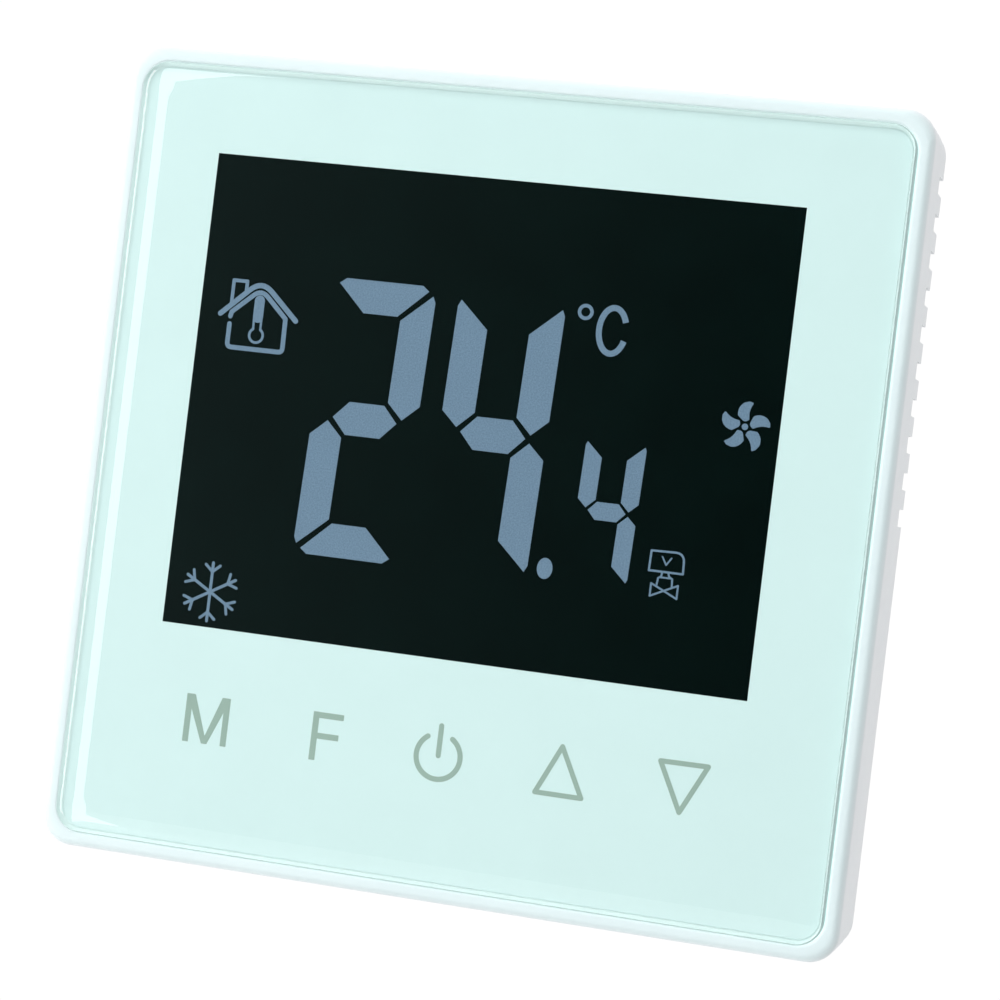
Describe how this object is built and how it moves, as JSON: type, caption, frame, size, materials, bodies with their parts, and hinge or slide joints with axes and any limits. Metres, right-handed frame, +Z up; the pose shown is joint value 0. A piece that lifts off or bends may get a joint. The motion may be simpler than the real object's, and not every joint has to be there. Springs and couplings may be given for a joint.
{
  "type": "wall thermostat",
  "caption": "Square flush wall thermostat with a touch glass front, a segment display, a clip-on frame with vents, a steel bracket and a rear relay box with wire terminals.",
  "frame": {"origin": "on the wall face, midway between the two wall screw slots, which is the middle of the frame", "axes": "+X to the right seen from the front, +Z up, +Y into the wall, so the glass faces -Y"},
  "size_m": [0.0864, 0.0433, 0.0864],
  "materials": {
    "frame_plastic": "satin",
    "front_glass": "polished, white print behind",
    "foam_tape": "matte",
    "display_glass": "polished",
    "tinned_pins": "tinned",
    "tray_plastic": "satin",
    "guide_acrylic": "polished",
    "led_resin": "gloss",
    "circuit_board": "solder mask",
    "screw_steel": "zinc plated",
    "spring_wire": "gold flash",
    "chip_resin": "matte",
    "sensor_resin": "gloss",
    "header_plastic": "matte",
    "gold_pins": "gold flash",
    "bracket_steel": "zinc plated",
    "box_plastic": "fine texture",
    "relay_case": "satin",
    "ferrite": "matte",
    "winding_tape": "satin",
    "film_case": "satin",
    "can_sleeve": "satin",
    "varistor_coat": "satin",
    "fuse_case": "satin",
    "terminal_plastic": "satin",
    "contact_copper": "tinned copper",
    "clamp_brass": "nickel plated brass"
  },
  "bodies": {
    "wall_side": {"mounting_bracket": "bracket_steel", "rear_box": "box_plastic", "insulation_cover": "box_plastic", "bracket_screws": "screw_steel", "power_board": "circuit_board", "power_board_screws": "screw_steel", "relay_fan_high": "relay_case", "relay_fan_medium": "relay_case", "relay_fan_low": "relay_case", "relay_valve": "relay_case", "transformer_core": "ferrite", "transformer_winding": "winding_tape", "filter_capacitor": "film_case", "bulk_capacitor": "can_sleeve", "output_capacitor": "can_sleeve", "varistor": "varistor_coat", "fuse": "fuse_case", "bridge_rectifier": "chip_resin", "regulator_chip": "chip_resin", "driver_chip": "chip_resin", "socket_header": "header_plastic", "socket_legs": "gold_pins", "terminal_block": "terminal_plastic", "contact_bars": "contact_copper"},
    "front_unit": {"front_frame": "frame_plastic", "glass_panel": "front_glass", "adhesive_tape": "foam_tape", "lcd_panel": "display_glass", "lcd_pins": "tinned_pins", "backlight_tray": "tray_plastic", "light_guide": "guide_acrylic", "reflector_film": "tray_plastic", "backlight_leds": "led_resin", "control_board": "circuit_board", "control_board_screws": "screw_steel", "touch_springs": "spring_wire", "microcontroller": "chip_resin", "memory_chip": "chip_resin", "crystal": "tinned_pins", "buzzer": "chip_resin", "temperature_sensor": "sensor_resin", "pin_header": "header_plastic", "header_pins": "gold_pins"},
    "screw_1": {"terminal_screw_1": "screw_steel"},
    "clamp_1": {"terminal_clamp_1": "clamp_brass"},
    "screw_2": {"terminal_screw_2": "screw_steel"},
    "clamp_2": {"terminal_clamp_2": "clamp_brass"},
    "screw_3": {"terminal_screw_3": "screw_steel"},
    "clamp_3": {"terminal_clamp_3": "clamp_brass"},
    "screw_4": {"terminal_screw_4": "screw_steel"},
    "clamp_4": {"terminal_clamp_4": "clamp_brass"},
    "screw_5": {"terminal_screw_5": "screw_steel"},
    "clamp_5": {"terminal_clamp_5": "clamp_brass"},
    "screw_6": {"terminal_screw_6": "screw_steel"},
    "clamp_6": {"terminal_clamp_6": "clamp_brass"},
    "screw_7": {"terminal_screw_7": "screw_steel"},
    "clamp_7": {"terminal_clamp_7": "clamp_brass"}
  },
  "joints": [
    {"name": "front_unit_pull", "type": "slide", "parent": "wall_side", "child": "front_unit", "axis": [0, -1, 0], "range_m": [0, 0.03]},
    {"name": "screw_1_turn", "type": "hinge", "parent": "wall_side", "child": "screw_1", "pos_m": [-0.01524, 0.0275, -0.0215], "axis": [0, -1, 0], "range_deg": [0, 1440]},
    {"name": "clamp_1_rise", "type": "slide", "parent": "wall_side", "child": "clamp_1", "axis": [0, 1, 0], "range_m": [0, 0.002]},
    {"name": "screw_2_turn", "type": "hinge", "parent": "wall_side", "child": "screw_2", "pos_m": [-0.01016, 0.0275, -0.0215], "axis": [0, -1, 0], "range_deg": [0, 1440]},
    {"name": "clamp_2_rise", "type": "slide", "parent": "wall_side", "child": "clamp_2", "axis": [0, 1, 0], "range_m": [0, 0.002]},
    {"name": "screw_3_turn", "type": "hinge", "parent": "wall_side", "child": "screw_3", "pos_m": [-0.00508, 0.0275, -0.0215], "axis": [0, -1, 0], "range_deg": [0, 1440]},
    {"name": "clamp_3_rise", "type": "slide", "parent": "wall_side", "child": "clamp_3", "axis": [0, 1, 0], "range_m": [0, 0.002]},
    {"name": "screw_4_turn", "type": "hinge", "parent": "wall_side", "child": "screw_4", "pos_m": [0, 0.0275, -0.0215], "axis": [0, -1, 0], "range_deg": [0, 1440]},
    {"name": "clamp_4_rise", "type": "slide", "parent": "wall_side", "child": "clamp_4", "axis": [0, 1, 0], "range_m": [0, 0.002]},
    {"name": "screw_5_turn", "type": "hinge", "parent": "wall_side", "child": "screw_5", "pos_m": [0.00508, 0.0275, -0.0215], "axis": [0, -1, 0], "range_deg": [0, 1440]},
    {"name": "clamp_5_rise", "type": "slide", "parent": "wall_side", "child": "clamp_5", "axis": [0, 1, 0], "range_m": [0, 0.002]},
    {"name": "screw_6_turn", "type": "hinge", "parent": "wall_side", "child": "screw_6", "pos_m": [0.01016, 0.0275, -0.0215], "axis": [0, -1, 0], "range_deg": [0, 1440]},
    {"name": "clamp_6_rise", "type": "slide", "parent": "wall_side", "child": "clamp_6", "axis": [0, 1, 0], "range_m": [0, 0.002]},
    {"name": "screw_7_turn", "type": "hinge", "parent": "wall_side", "child": "screw_7", "pos_m": [0.01524, 0.0275, -0.0215], "axis": [0, -1, 0], "range_deg": [0, 1440]},
    {"name": "clamp_7_rise", "type": "slide", "parent": "wall_side", "child": "clamp_7", "axis": [0, 1, 0], "range_m": [0, 0.002]}
  ],
  "couplings": [
    {"joint": "screw_1_turn", "follows": "clamp_1_rise", "rad_per_m": 12566},
    {"joint": "screw_2_turn", "follows": "clamp_2_rise", "rad_per_m": 12566},
    {"joint": "screw_3_turn", "follows": "clamp_3_rise", "rad_per_m": 12566},
    {"joint": "screw_4_turn", "follows": "clamp_4_rise", "rad_per_m": 12566},
    {"joint": "screw_5_turn", "follows": "clamp_5_rise", "rad_per_m": 12566},
    {"joint": "screw_6_turn", "follows": "clamp_6_rise", "rad_per_m": 12566},
    {"joint": "screw_7_turn", "follows": "clamp_7_rise", "rad_per_m": 12566}
  ]
}
